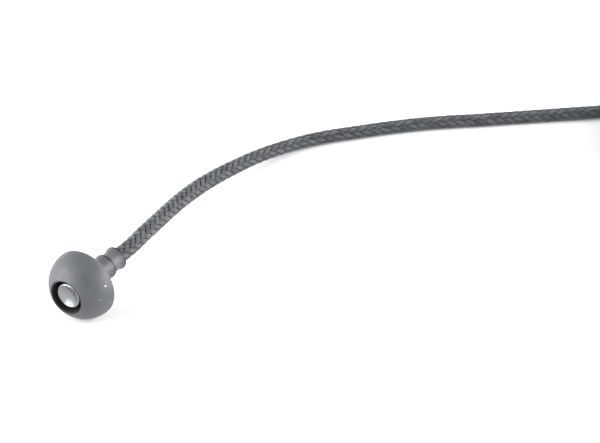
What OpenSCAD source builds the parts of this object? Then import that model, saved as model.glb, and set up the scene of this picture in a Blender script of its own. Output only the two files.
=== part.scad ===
// Ball-grip cable release. A push button in a round grip drives a wire through a braided cord,
// and the wire pushes a pin out of a screw-in tip at the cord's far end.
// +X runs along the grip's axis from the button to the cord, and +Z is up.
// The origin lies on the table, under the middle of the grip.

/* [Ball grip] */
// Diameter of the ball at its widest ring
ball_d = 19; // [17:0.5:24]
// Height of the domed front above the widest ring, before the recess cuts it
front_dome = 9.3; // [8.8:0.1:10]
// Height of the flat back's dome behind the widest ring
back_dome = 2.6; // [2:0.1:3.2]
// Diameter of the recess that holds the button
mouth_d = 9.8; // [8.8:0.1:10]
// Depth of the recess below the front rim
recess_depth = 7.6; // [7.4:0.1:8.2]
// Width of the front rim around the recess
rim_land = 0.11; // [0.05:0.01:0.4]
// Bevel on the inside of the front rim
rim_bevel = 0.08; // [0.04:0.01:0.1]
// Rounding of the collars' lips
edge_r = 0.2; // [0.1:0.05:0.3]
// Diameter of the bore that runs through the ball and its neck
core_d = 4.8; // [4.4:0.1:5]

/* [Neck and gland] */
// Distance from the widest ring to the end of the ball's own neck
neck_out = 9.2; // [9:0.1:11]
// Diameter of the neck's waist
neck_waist_d = 6.2; // [6:0.1:7]
// Radius that the neck gains where it runs into the ball
neck_flare = 1; // [0.4:0.1:1.6]
// Diameter of the neck's lip
neck_lip_d = 6.9; // [6.6:0.1:7.6]
// Length of the gland that shows behind the neck
gland_len = 4.7; // [4.4:0.1:6]
// Diameter of the gland's waist
gland_waist_d = 5.7; // [5.4:0.1:6.2]
// Diameter of the gland's lip
gland_lip_d = 6.6; // [5.8:0.1:7]
// Length of the straight edge of each lip
lip_len = 0.6; // [0.4:0.1:1]
// Length of the gland's spigot inside the neck
spigot_len = 1.4; // [1:0.1:1.6]

/* [Button] */
// Diameter of the button's head
button_d = 7.2; // [6:0.1:8]
// Depth of the button's top edge below the front rim
button_inset = 0.8; // [0.5:0.1:1.4]
// Thickness of the button's head
button_t = 1.8; // [1.4:0.1:2]
// Diameter of the shallow dish in the button's face
dish_d = 6.3; // [5.5:0.1:6.5]
// Depth of the shallow dish in the button's face
dish_depth = 0.8; // [0.3:0.05:0.9]
// Diameter of the button's hub, which the spring stands around
hub_d = 3; // [2.6:0.1:3.2]
// Length of the hub below the head
hub_len = 1.4; // [1:0.1:1.8]
// How far the button travels
travel = 4; // [3:0.1:4]

/* [Recess liner] */
// Wall of the liner
liner_wall = 0.35; // [0.25:0.05:0.5]
// Thickness of the liner's floor
liner_floor = 0.5; // [0.4:0.05:0.6]
// Depth of the liner's edge below the front rim
liner_inset = 0.15; // [0.1:0.05:0.6]

/* [Plunger] */
// Diameter of the plunger rod
rod_d = 1.6; // [1.4:0.1:1.8]
// Length of the guide bush
bush_len = 2; // [1.6:0.1:2.2]
// Length of the return spring at rest
spring_len = 8.9; // [8.6:0.1:9.1]
// Diameter of the spring's wire
spring_wire = 0.4; // [0.3:0.05:0.45]
// Turns of the return spring
spring_turns = 8; // [6:1:9]
// Diameter of the retaining clip
clip_d = 3.2; // [2.8:0.1:3.4]
// Thickness of the retaining clip
clip_t = 0.4; // [0.3:0.05:0.5]
// Length of rod behind the clip
rod_tail = 1.1; // [0.9:0.1:1.2]

/* [Drive wire and conduit] */
// Diameter of the drive wire
wire_d = 0.8; // [0.6:0.05:0.9]
// Length of wire held in the rod and in the pin's sleeve
wire_hold = 1.9; // [1.5:0.1:2.2]
// Outer diameter of the wound conduit
conduit_d = 2.4; // [2:0.1:2.6]
// Length of conduit held at each end of the cord
conduit_hold = 2; // [1.6:0.1:2]
// Outer diameter of the ferrule in the gland
ferrule_d = 4; // [3.6:0.1:4.2]

/* [Cord] */
// Diameter of the braided cord
cord_d = 4; // [3.6:0.1:4.4]
// Radius of the coil at the middle of its turns
coil_r = 22; // [20:0.5:24]

/* [Tip] */
// Length of the ferrule at the cord's end
tail_len = 8.6; // [8:0.1:10]
// Diameter of the tip ferrule's lip
tail_lip_d = 5.4; // [5:0.1:6]
// Diameter of the tip ferrule's waist
tail_waist_d = 4.8; // [4.6:0.1:5.2]
// Diameter of the barrel that the thread collar turns on
barrel_d = 3.2; // [3:0.1:3.4]
// Diameter of the barrel's flange, which keeps the collar on
flange_d = 4.2; // [4:0.1:4.4]
// Thickness of the barrel's flange
flange_t = 0.7; // [0.5:0.1:0.8]
// Diameter of the barrel's middle, inside the collar
middle_d = 2.8; // [2.6:0.1:3]
// Diameter of the barrel's nose, inside the thread
nose_d = 1.9; // [1.8:0.1:2]
// Diameter of the thread collar's grip
collar_d = 6.8; // [6.4:0.1:8]
// Length of the thread collar's grip
collar_len = 7; // [6.8:0.1:9]
// Thickness of the ring that closes the collar
ring_t = 0.9; // [0.7:0.1:1]
// Outer diameter of the ring that closes the collar
ring_d = 5.2; // [5:0.1:5.4]

/* [Thread and pin] */
// Diameter of the tapered thread at its root end
thread_d = 3.5; // [3.4:0.1:4]
// Diameter of the tapered thread at its free end
thread_end_d = 3.1; // [3:0.1:3.2]
// Length of the tapered thread
thread_len = 4.8; // [4:0.1:6]
// Pitch of the thread
thread_pitch = 0.5; // [0.4:0.05:0.6]
// Depth of the thread
thread_depth = 0.22; // [0.15:0.01:0.25]
// Diameter of the plain pilot ahead of the thread
pilot_d = 2.5; // [2.4:0.1:2.6]
// Length of the plain pilot
pilot_len = 1.6; // [1.2:0.1:2]
// Diameter of the release pin
pin_d = 1.2; // [1:0.05:1.3]
// Diameter of the head that keeps the pin in the barrel
pin_head_d = 1.8; // [1.7:0.05:1.9]
// Length of the pin's head
pin_head_t = 0.9; // [0.6:0.1:1.2]
// How far the pin stands out of the pilot at rest
pin_out = 0.3; // [0.1:0.1:0.5]
// Diameter of the sleeve that joins the wire to the pin
sleeve_d = 1.7; // [1.5:0.05:1.8]
// Length of that sleeve
sleeve_len = 2.5; // [2:0.1:3]

/* [Fits] */
// Radial gap at a pressed or glued seat
seat_gap = 0.02; // [0.01:0.01:0.04]
// Radial gap between a sliding or turning piece and its guide
slide_gap = 0.05; // [0.03:0.01:0.08]
// Gap between faces that meet at the end of a motion
stop_gap = 0.1; // [0.05:0.05:0.2]

/* [Hidden] */
$fn = 72;

// Stations along the grip's axis, counted from the ball's widest ring towards the cord
ball_r = ball_d / 2;
rim_out = front_dome * sqrt(1 - pow((mouth_d / 2 + rim_land) / ball_r, 2));
exit_at = neck_out + gland_len;
recess_floor = recess_depth - rim_out;
button_top = button_inset - rim_out;
button_under = button_top + button_t;
bush_front = button_under + spring_len;
bush_back = bush_front + bush_len;
clip_front = bush_back + stop_gap;
rod_front = button_top + dish_depth + button_t / 3;
rod_back = clip_front + clip_t + rod_tail;
ferrule_front = exit_at - conduit_hold;
groove_d = rod_d * 0.75;
conduit_bore_d = wire_d + 4 * slide_gap;
// Passage in the gland for the clip, which travels with the rod
clip_way_d = clip_d + 4 * slide_gap;

// Stations along the tip's axis, counted from the cord's end
collar_back = tail_len + 0.4;
ring_front = collar_back + ring_t;
flange_back = ring_front + stop_gap;
pocket_front = flange_back + flange_t + stop_gap;
seat_at = collar_back + collar_len;
thread_front = seat_at + thread_len;
pilot_front = thread_front + pilot_len;
// The barrel's middle stops short of the thread, and its wide bore a wall short of that
middle_front = seat_at + 0.6;
wide_front = middle_front - 0.5;
barrel_back = conduit_hold + 1.3;
pin_front = pilot_front + pin_out;
pin_head_front = wide_front - stop_gap - travel;
pin_head_back = pin_head_front - pin_head_t;
sleeve_back = pin_head_back - sleeve_len;
wide_bore_d = pin_head_d + 2 * slide_gap;

// Middle of the cord from the gland to the coil. It is straight out of the gland, sinks to
// the table and bends round to the coil.
RUN = [
    [10.9, 0, 9.5], [17, 0, 9.5], [25, 0.9, 9.3], [33, 1.9, 8.8], [42, 3.3, 7.9], [50, 4.2, 7],
    [58, 4.7, 6], [66, 4.6, 5], [74, 3.9, 4.1], [82, 2.7, 3.3], [90, 0.6, 2.6], [98, -2.7, 2.1],
    [105, -7.2, 2], [112, -13.3, 2], [119, -19.6, 2], [126, -26.5, 2], [132, -33.2, 2],
    [138, -40.8, 2], [144.5, -48.6, 2], [151, -56.4, 2], [158, -64.8, 2], [165, -73.2, 2],
    [171.5, -81.1, 2], [177.85, -88.86, 2]
];
// Middle of the cord from the top of the coil to the tip
TAIL = [
    [161, -81, 8], [167, -81, 7.7], [173, -81, 6.7], [179, -81, 5.3], [185, -81, 4.1],
    [190, -81, 3.4], [195, -81, 3.4]
];
COIL_CENTRE = [161, -103];
CORD_SIDES = 10;
// The gland ends where the cord starts, and the tip starts where the cord ends
ball_x = RUN[0].x - exit_at;
tip_x = TAIL[len(TAIL) - 1].x;
tip_y = TAIL[len(TAIL) - 1].y;
tip_z = collar_d / 2;

// Half width of the ball at a station: one half ellipse ahead of the widest ring, one behind
function ball_half(u) = ball_r * sqrt(1 - pow(u / (u < 0 ? front_dome : back_dome), 2));

// Points along a waist that curves in from radius a to radius b and out to radius c
function waist(a, b, c, from, to, steps = 10) = [for (i = [0:steps]) let (t = i / steps)
    [t < 0.5 ? b + (a - b) * pow(1 - 2 * t, 2) : b + (c - b) * pow(2 * t - 1, 2), from + (to - from) * t]];

// Points of a round outer edge of radius r, which turns from one face to the next
function edge(x, z, r, start) = [for (i = [0:4]) let (a = start + 90 * i / 4)
    [x + r * cos(a), z + r * sin(a)]];

function unit(v) = v / norm(v);

// One ring of a swept tube, square to the path's direction at point i
function ring(path, i, r, sides, lead) = let (
    last = len(path) - 1,
    along = unit(path[min(i + 1, last)] - path[max(i - 1, 0)]),
    side = unit(cross(along, lead)),
    up = cross(side, along))
    [for (k = [0:sides - 1]) path[i] + r * (cos(360 * k / sides) * side + sin(360 * k / sides) * up)];

// A tube of radius r along a path. lead is a direction that the path never takes.
module sweep(path, r, sides, lead) {
    n = len(path);
    points = [for (i = [0:n - 1]) each ring(path, i, r, sides, lead)];
    wall = [for (i = [0:n - 2], k = [0:sides - 1]) let (m = (k + 1) % sides)
        [i * sides + k, (i + 1) * sides + k, (i + 1) * sides + m, i * sides + m]];
    back = [for (k = [0:sides - 1]) k];
    front = [for (k = [sides - 1:-1:0]) (n - 1) * sides + k];
    polyhedron(points, concat(wall, [back, front]));
}

// Stands a turned shape, drawn up +Z, on the grip's axis
module on_grip() {
    translate([ball_x, 0, ball_r]) rotate([0, 90, 0]) children();
}

// Stands a turned shape, drawn up +Z, on the tip's axis
module on_tip() {
    translate([tip_x, tip_y, tip_z]) rotate([0, 90, 0]) children();
}

// A round bar or hole between two stations
module bar(d, from, to) {
    translate([0, 0, from]) cylinder(d = d, h = to - from);
}

// A tube between two stations
module tube(d, bore, from, to) {
    difference() {
        bar(d, from, to);
        bar(bore, from - 1, to + 1);
    }
}

// The ball and its neck, turned from one bar
module grip_shell() {
    root_r = neck_waist_d / 2 + neck_flare;
    neck_root = back_dome * sqrt(1 - pow(root_r / ball_r, 2));
    rim_angle = asin(rim_out / front_dome);
    back_angle = asin(neck_root / back_dome);
    outline = concat(
        [[0, -rim_out]],
        [for (i = [0:19]) let (u = -front_dome * sin(rim_angle * (1 - i / 20))) [ball_half(u), u]],
        [for (i = [0:15]) let (u = back_dome * sin(back_angle * i / 16)) [ball_half(u), u]],
        waist(root_r, neck_waist_d / 2, neck_lip_d / 2, neck_root, neck_out - lip_len),
        edge(neck_lip_d / 2 - edge_r, neck_out - edge_r, edge_r, 0),
        [[0, neck_out]]);
    color("#6e7074") on_grip() difference() {
        rotate_extrude() polygon(outline);
        bar(mouth_d, -rim_out - 1, recess_floor);
        translate([0, 0, -rim_out - rim_bevel])
            cylinder(d1 = mouth_d + 4 * rim_bevel, d2 = mouth_d, h = 2 * rim_bevel);
        bar(core_d, recess_floor - 1, neck_out + 1);
    }
}

// The black cup that lines the recess
module recess_liner() {
    cup_d = mouth_d - 2 * seat_gap;
    color("#1c1c1f") on_grip() difference() {
        bar(cup_d, liner_inset - rim_out, recess_floor);
        bar(cup_d - 2 * liner_wall, -rim_out, recess_floor - liner_floor);
        bar(core_d, recess_floor - 1, recess_floor + 1);
    }
}

// The push button: a head with a dished face on a hub that takes the rod
module button() {
    head_r = button_d / 2;
    dish_r = dish_d / 2;
    round_r = head_r - dish_r;
    outline = concat(
        [for (i = [0:10]) let (r = dish_r * i / 10)
            [r, button_top + dish_depth * (1 - pow(r / dish_r, 2))]],
        [for (i = [1:6]) let (a = 90 - 90 * i / 6)
            [dish_r + round_r * cos(a), button_top + round_r * (1 - sin(a))]],
        [[head_r, button_under], [hub_d / 2, button_under], [hub_d / 2, button_under + hub_len],
            [0, button_under + hub_len]]);
    color("#b9bbbf") on_grip() difference() {
        rotate_extrude() polygon(outline);
        bar(rod_d + 2 * seat_gap, rod_front, button_under + hub_len + 1);
    }
}

// The rod that the button pushes, grooved for its clip and drilled for the wire
module plunger_rod() {
    color("#9fa2a6") on_grip() difference() {
        bar(rod_d, rod_front + seat_gap, rod_back);
        tube(rod_d + 1, groove_d, clip_front - seat_gap, clip_front + clip_t + seat_gap);
        bar(wire_d + 2 * seat_gap, rod_back - wire_hold - seat_gap, rod_back + 1);
    }
}

// The brass bush that guides the rod and carries the spring
module guide_bush() {
    color("#b8964a") on_grip() tube(core_d - 2 * seat_gap, rod_d + 2 * slide_gap, bush_front, bush_back);
}

// The return spring, from the bush to the underside of the button's head
module return_spring() {
    coil = (hub_d + core_d) / 4;
    low = button_under + spring_wire / 2 + stop_gap;
    high = bush_front - spring_wire / 2 - stop_gap;
    steps = spring_turns * 12;
    path = [for (i = [0:steps]) let (a = 30 * i) [coil * cos(a), coil * sin(a), low + (high - low) * i / steps]];
    color("#c4c6c8") on_grip() sweep(path, spring_wire / 2, 6, [0, 0, 1]);
}

// The clip on the rod that stops it at the bush
module retaining_clip() {
    color("#4a4c50") on_grip() tube(clip_d, groove_d + 2 * seat_gap, clip_front, clip_front + clip_t);
}

// The end of the wire that the rod pushes
module drive_wire() {
    color("#c0c2c4") on_grip() bar(wire_d, rod_back - wire_hold, exit_at - travel - stop_gap / 2);
}

// The gland behind the neck: a second collar, with a spigot in the neck's bore
module cord_gland() {
    outline = concat(
        [[0, neck_out], [gland_waist_d / 2 + 0.1, neck_out]],
        waist(gland_waist_d / 2 + 0.1, gland_waist_d / 2, gland_lip_d / 2, neck_out + 0.3, exit_at - lip_len),
        edge(gland_lip_d / 2 - edge_r, exit_at - edge_r, edge_r, 0),
        [[0, exit_at]]);
    color("#6a6c70") on_grip() difference() {
        union() {
            rotate_extrude() polygon(outline);
            bar(core_d - 2 * seat_gap, neck_out - spigot_len, neck_out + 1);
        }
        bar(clip_way_d, 0, exit_at - conduit_hold);
        bar(ferrule_d + 2 * seat_gap, ferrule_front - seat_gap, exit_at + 1);
    }
}

// The ferrule that holds the conduit in the gland
module gland_ferrule() {
    color("#a88a48") on_grip() tube(ferrule_d, conduit_d + 2 * seat_gap, ferrule_front, exit_at);
}

// The end of the wound conduit that the wire runs in
module conduit_end() {
    color("#8e9094") on_grip() tube(conduit_d, conduit_bore_d, ferrule_front, exit_at);
}

// The braided cord between the gland and the coil
module cord_run() {
    color("#55575c") sweep(RUN, cord_d / 2, CORD_SIDES, [0, 0, 1]);
}

// The cord's two stacked turns
module cord_coil() {
    color("#55575c") translate([COIL_CENTRE.x, COIL_CENTRE.y, 0]) rotate_extrude() translate([coil_r, 0]) {
        translate([0, cord_d / 2]) circle(d = cord_d);
        translate([0, cord_d * 3 / 2]) circle(d = cord_d);
        translate([-cord_d / 2, cord_d / 2]) square(cord_d);
    }
}

// The braided cord between the coil and the tip
module cord_tail() {
    color("#55575c") sweep(TAIL, cord_d / 2, CORD_SIDES, [0, 0, 1]);
}

// The ferrule on the cord's far end, with a lip like the gland's
module tip_ferrule() {
    outline = concat(
        [[0, 0]],
        edge(tail_lip_d / 2 - edge_r, edge_r, edge_r, -90),
        waist(tail_lip_d / 2, tail_waist_d / 2, tail_waist_d / 2 + 0.1, lip_len, tail_len - edge_r),
        edge(tail_waist_d / 2 + 0.1 - edge_r, tail_len - edge_r, edge_r, 0),
        [[0, tail_len]]);
    color("#6a6c70") on_tip() difference() {
        rotate_extrude() polygon(outline);
        bar(conduit_d + 2 * seat_gap, -1, barrel_back);
        bar(barrel_d + 2 * seat_gap, barrel_back - seat_gap, tail_len + 1);
    }
}

// The conduit's other end
module tip_conduit() {
    color("#8e9094") on_tip() tube(conduit_d, conduit_bore_d, 0, conduit_hold + 1);
}

// The barrel: a body in the ferrule, a flange, and a nose that reaches through the thread
module tip_barrel() {
    color("#a3a5a9") on_tip() difference() {
        union() {
            bar(barrel_d, barrel_back, flange_back + flange_t / 2);
            bar(flange_d, flange_back, flange_back + flange_t);
            bar(middle_d, flange_back, middle_front);
            bar(nose_d, flange_back, pilot_front);
        }
        bar(wide_bore_d, barrel_back - 1, wide_front);
        bar(pin_d + 2 * slide_gap, 0, pilot_front + 1);
    }
}

// The thread collar that screws into the camera and turns freely on the barrel
module thread_collar() {
    turns = floor((thread_len - thread_pitch) / thread_pitch);
    taper = (thread_d - thread_end_d) / 2 / thread_len;
    ridges = [for (i = [0:turns - 1], half = [0, 1]) let (z = (i + 0.5 + half / 2) * thread_pitch)
        [thread_d / 2 - taper * z - thread_depth * (1 - half), seat_at + z]];
    bevel = 2 * edge_r;
    // A low land at the thread's foot, as wide as its crests, so that a plate lies flat round it
    land = thread_d / 2 + slide_gap;
    outline = concat(
        [[0, collar_back], [collar_d / 2 - bevel, collar_back], [collar_d / 2, collar_back + bevel],
            [collar_d / 2, seat_at - bevel], [collar_d / 2 - bevel, seat_at],
            [land, seat_at], [land, seat_at + thread_pitch / 4]],
        ridges,
        [[pilot_d / 2, thread_front], [pilot_d / 2, pilot_front], [0, pilot_front]]);
    color("#b3b5b9") on_tip() difference() {
        rotate_extrude() polygon(outline);
        bar(ring_d + 2 * seat_gap, collar_back - 1, ring_front);
        bar(flange_d + 2 * slide_gap, collar_back, pocket_front);
        bar(middle_d + 2 * slide_gap, collar_back, middle_front + stop_gap);
        bar(nose_d + 2 * slide_gap, collar_back, pilot_front + 1);
    }
}

// The ring pressed into the collar behind the barrel's flange
module collar_ring() {
    color("#a88a48") on_tip() tube(ring_d, barrel_d + 2 * slide_gap, collar_back, ring_front);
}

// The pin that presses the camera's release
module release_pin() {
    color("#c8cacc") on_tip() {
        bar(pin_head_d, pin_head_back, pin_head_front);
        bar(pin_d, pin_head_back, pin_front);
    }
}

// The sleeve crimped on the wire behind the pin
module pin_sleeve() {
    color("#b8964a") on_tip() tube(sleeve_d, wire_d + 2 * seat_gap, sleeve_back, pin_head_back);
}

// The end of the wire that pushes the pin
module pin_wire() {
    color("#c0c2c4") on_tip() bar(wire_d, stop_gap, sleeve_back + wire_hold);
}

grip_shell();
recess_liner();
button();
plunger_rod();
guide_bush();
return_spring();
retaining_clip();
drive_wire();
cord_gland();
gland_ferrule();
conduit_end();
cord_run();
cord_coil();
cord_tail();
tip_ferrule();
tip_conduit();
tip_barrel();
thread_collar();
collar_ring();
release_pin();
pin_sleeve();
pin_wire();
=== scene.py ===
# %% [markdown]
# # A cable release, cell by cell
#
# The object is the old screw-in cable release for a camera: a ball for the fingers with a push
# button in its mouth, a braided cord with a wire inside, and a small threaded tip. This lesson
# builds its looks round a finished frame. The frame holds the engineer's solids and says which
# parts move, so every piece made here only has to know its own size and where it sits.

# %% Load the frame
import math
import bmesh
import bpy
import numpy as np
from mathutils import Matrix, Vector


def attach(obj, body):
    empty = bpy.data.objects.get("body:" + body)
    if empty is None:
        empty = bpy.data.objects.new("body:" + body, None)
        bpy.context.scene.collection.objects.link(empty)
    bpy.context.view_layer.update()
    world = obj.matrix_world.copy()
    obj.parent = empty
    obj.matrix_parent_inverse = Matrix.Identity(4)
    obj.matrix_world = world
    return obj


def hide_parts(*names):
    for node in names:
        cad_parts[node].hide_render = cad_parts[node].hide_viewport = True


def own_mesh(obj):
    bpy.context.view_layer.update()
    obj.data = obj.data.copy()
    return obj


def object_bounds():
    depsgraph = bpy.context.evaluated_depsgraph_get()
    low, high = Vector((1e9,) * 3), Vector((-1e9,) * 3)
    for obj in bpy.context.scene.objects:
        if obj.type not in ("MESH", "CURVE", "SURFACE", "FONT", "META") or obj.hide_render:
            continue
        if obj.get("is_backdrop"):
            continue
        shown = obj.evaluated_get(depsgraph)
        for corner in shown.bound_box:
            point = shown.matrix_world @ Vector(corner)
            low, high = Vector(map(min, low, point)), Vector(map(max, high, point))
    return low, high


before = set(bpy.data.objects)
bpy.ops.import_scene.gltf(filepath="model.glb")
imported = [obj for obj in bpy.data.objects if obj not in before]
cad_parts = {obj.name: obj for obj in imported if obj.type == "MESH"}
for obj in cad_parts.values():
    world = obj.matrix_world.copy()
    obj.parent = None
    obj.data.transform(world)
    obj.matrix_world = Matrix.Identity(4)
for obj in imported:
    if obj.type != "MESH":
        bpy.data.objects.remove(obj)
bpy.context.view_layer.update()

MM = 0.001

# %% [markdown]
# ## The camera
#
# A camera is set before anything is modelled, so that every later decision is judged from one
# fixed place. This one is a long lens looking down at the ball from the left and the front. A
# long lens keeps small things free of the swollen look that a near, wide lens gives them. The
# camera could be aimed with a constraint, but three plain angles are easier to keep the same.

# %% Camera
EYE = Vector((-337.26, -275.87, 307.65)) * MM
HEADING = math.radians(32.07)
PITCH = math.radians(32.99)
lens = bpy.data.cameras.new("long_lens")
lens.lens = 120
lens.sensor_width = 36
lens.clip_start = 0.01
camera = bpy.data.objects.new("camera", lens)
camera.location = EYE
camera.rotation_euler = (math.pi / 2 - PITCH, 0, HEADING - math.pi / 2)
bpy.context.collection.objects.link(camera)
bpy.context.scene.camera = camera
print("camera stands", round(EYE.length, 3), "m from the origin")

# %% [markdown]
# ## Where the cord lies
#
# The cord leaves the grip 9.5 mm above the table, sinks to it, and curves away. The rest of it
# is put away as one coil of nearly two turns, which ends at the threaded tip. A route could be
# drawn by hand as a Bezier curve. Here it is a list of points in millimetres, because the same
# points shape the engineer's solid. A Catmull-Rom curve runs through them, since it passes
# through every point and never needs handles.

# %% The route's points
RUN = [
    [10.9, 0, 9.5], [17, 0, 9.5], [25, 0.9, 9.3], [33, 1.9, 8.8], [42, 3.3, 7.9], [50, 4.2, 7],
    [58, 4.7, 6], [66, 4.6, 5], [74, 3.9, 4.1], [82, 2.7, 3.3], [90, 0.6, 2.6], [98, -2.7, 2.1],
    [105, -7.2, 2], [112, -13.3, 2], [119, -19.6, 2], [126, -26.5, 2], [132, -33.2, 2],
    [138, -40.8, 2], [144.5, -48.6, 2], [151, -56.4, 2], [158, -64.8, 2], [165, -73.2, 2],
    [171.5, -81.1, 2], [177.85, -88.86, 2],
]
TAIL = [
    [161, -81, 8], [167, -81, 7.7], [173, -81, 6.7], [179, -81, 5.3], [185, -81, 4.1],
    [190, -81, 3.4], [195, -81, 3.4],
]
COIL_CENTRE = (161, -103)
COIL_RADIUS = 22
COIL_SWEEP = 670


def ease(value, start, stop):
    """0 before start, 1 after stop, and a smooth step in between."""
    share = min(1.0, max(0.0, (value - start) / (stop - start)))
    return share * share * (3 - 2 * share)


def coil_point(turned):
    """A point of the coil after so many degrees of winding, clockwise from above."""
    place = math.radians(40 - turned)
    height = 2 + 4 * ease(turned, 270, 345) + 2 * ease(turned, 630, COIL_SWEEP)
    return [
        COIL_CENTRE[0] + COIL_RADIUS * math.cos(place),
        COIL_CENTRE[1] + COIL_RADIUS * math.sin(place),
        height,
    ]


COIL = [coil_point(turned) for turned in range(15, COIL_SWEEP, 15)]
knots = np.array(RUN + COIL + TAIL, float) * MM
print(len(knots), "points, of which", len(COIL), "wind the coil")

# %% [markdown]
# ## One even line
#
# A braid needs steps of equal length, or its pitch would wander. So the smooth curve is first
# drawn much finer than needed, and then cut again at equal distances along it.

# %% Even steps along the route
STEP = 0.5 * MM


def smooth_line(points, cuts=40):
    """A Catmull-Rom curve through the points, with many small cuts between each pair."""
    ends = np.vstack([2 * points[0] - points[1], points, 2 * points[-1] - points[-2]])
    share = np.linspace(0, 1, cuts, endpoint=False)[:, None]
    spans = []
    for a, b, c, d in zip(ends, ends[1:], ends[2:], ends[3:]):
        bend = (2 * a - 5 * b + 4 * c - d) * share**2 + (3 * b - a - 3 * c + d) * share**3
        spans.append(b + 0.5 * ((c - a) * share + bend))
    return np.vstack(spans + [points[-1:]])


def even_line(line, step):
    """The same line with its points an equal distance apart, and each point's distance."""
    walked = np.concatenate([[0], np.cumsum(np.linalg.norm(np.diff(line, axis=0), axis=1))])
    count = int(round(walked[-1] / step)) + 1
    at = np.linspace(0, walked[-1], count)
    return np.stack([np.interp(at, walked, line[:, i]) for i in range(3)], axis=1), at


route, travel = even_line(smooth_line(knots), STEP)
print("the route is", round(travel[-1], 4), "m long in", len(route), "points")

# %% [markdown]
# ## How thick the cord is, and how fast it winds
#
# Near the grip the braid is pulled over a boot and stands a little fuller; farther on it lies
# snug at 4 mm. The braid's lay is the distance that one carrier needs for a whole turn. Both
# are short lists of distance and size, blended smoothly. The number of turns at a point is the
# sum of the small turns before it, so a changing lay never breaks a yarn.

# %% Girth and lay along the cord
GIRTH = [(0, 4.5), (13, 4.6), (31, 4.7), (45, 4.8), (58, 4.6), (70, 4.3), (88, 4.02), (150, 4)]
LAY = [(0, 21.3), (50, 21.3), (85, 23.7), (500, 23.7)]


def along_cord(table):
    """The table's value in millimetres at every point of the route, with its corners eased."""
    where, size = np.array(table, float).T
    raw = np.interp(travel / MM, where, size)
    window = np.hanning(31)
    padded = np.pad(raw, 15, mode="edge")
    return np.convolve(padded, window / window.sum(), mode="valid")


girth = along_cord(GIRTH)
lay = along_cord(LAY)
turns = np.concatenate([[0], np.cumsum(np.diff(travel / MM) / lay[1:])])
print("girth runs from", round(girth.max(), 2), "to", round(girth.min(), 2), "mm")
print("one carrier makes", round(turns[-1], 1), "turns")

# %% [markdown]
# ## One helper for every node
#
# Geometry trees and materials are both made of nodes. A single small function adds a node,
# sets its choices, and fills each of its inputs with either a value or another node's output.

# %% Add a node
MATH = "ShaderNodeMath"
VECTOR_MATH = "ShaderNodeVectorMath"


def add(tree, kind, inputs=None, **choices):
    """A new node. inputs maps an input to a value, an output, or a node's first output."""
    made = tree.nodes.new(kind)
    for name, value in choices.items():
        setattr(made, name, value)
    for key, value in (inputs or {}).items():
        if isinstance(value, bpy.types.Node):
            value = value.outputs[0]
        if isinstance(value, bpy.types.NodeSocket):
            tree.links.new(value, made.inputs[key])
        else:
            made.inputs[key].default_value = value
    return made


def geometry_tree(name, sizes):
    """An empty geometry tree with a geometry in and out, and one named input for each size."""
    tree = bpy.data.node_groups.new(name, "GeometryNodeTree")
    tree.interface.new_socket("Geometry", in_out="INPUT", socket_type="NodeSocketGeometry")
    for label, kind in sizes.items():
        tree.interface.new_socket(label, in_out="INPUT", socket_type="NodeSocket" + kind)
    tree.interface.new_socket("Geometry", in_out="OUTPUT", socket_type="NodeSocketGeometry")
    return tree, tree.nodes.new("NodeGroupInput").outputs


def close_tree(tree, geometry, material):
    """Ends a tree in real meshes that carry a material, and joins it to the output."""
    real = add(tree, "GeometryNodeRealizeInstances", {"Geometry": geometry})
    dressed = add(tree, "GeometryNodeSetMaterial", {"Geometry": real, "Material": material})
    add(tree, "NodeGroupOutput", {0: dressed})


def grow(name, base, tree, values):
    """Runs a tree on a base mesh with these input values, and keeps only the plain mesh."""
    maker = bpy.data.objects.new(name + "_maker", base)
    bpy.context.collection.objects.link(maker)
    modifier = maker.modifiers.new("tree", "NODES")
    modifier.node_group = tree
    for socket in tree.interface.items_tree:
        if socket.in_out == "INPUT" and socket.name in values:
            modifier[socket.identifier] = values[socket.name]
    seen = maker.evaluated_get(bpy.context.evaluated_depsgraph_get())
    mesh = bpy.data.meshes.new_from_object(seen)
    maker.modifiers.clear()
    bpy.data.objects.remove(maker)
    mesh.name = name
    piece = bpy.data.objects.new(name, mesh)
    bpy.context.collection.objects.link(piece)
    print(name, "has", len(mesh.vertices), "points and", len(mesh.polygons), "faces")
    return piece


# %% [markdown]
# ## Colours and a first material
#
# Screens store colours on a curve, and light adds up in straight numbers. So every colour in
# this lesson is written as the hex value that one sees, and one function turns it straight.

# %% Straight colours and an empty material
def straight(code):
    """The linear colour that a hex value such as 8a8c90 stands for."""
    parts = [int(code[i:i + 2], 16) / 255 for i in (0, 2, 4)]
    return (*[p / 12.92 if p <= 0.04045 else ((p + 0.055) / 1.055) ** 2.4 for p in parts], 1)


def material(name, **settings):
    """A material with one Principled shader, set on the shader's own inputs."""
    made = bpy.data.materials.new(name)
    made.use_nodes = True
    tree = made.node_tree
    tree.nodes.clear()
    shader = add(tree, "ShaderNodeBsdfPrincipled", settings)
    add(tree, "ShaderNodeOutputMaterial", {"Surface": shader})
    return made, tree, shader
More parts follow.
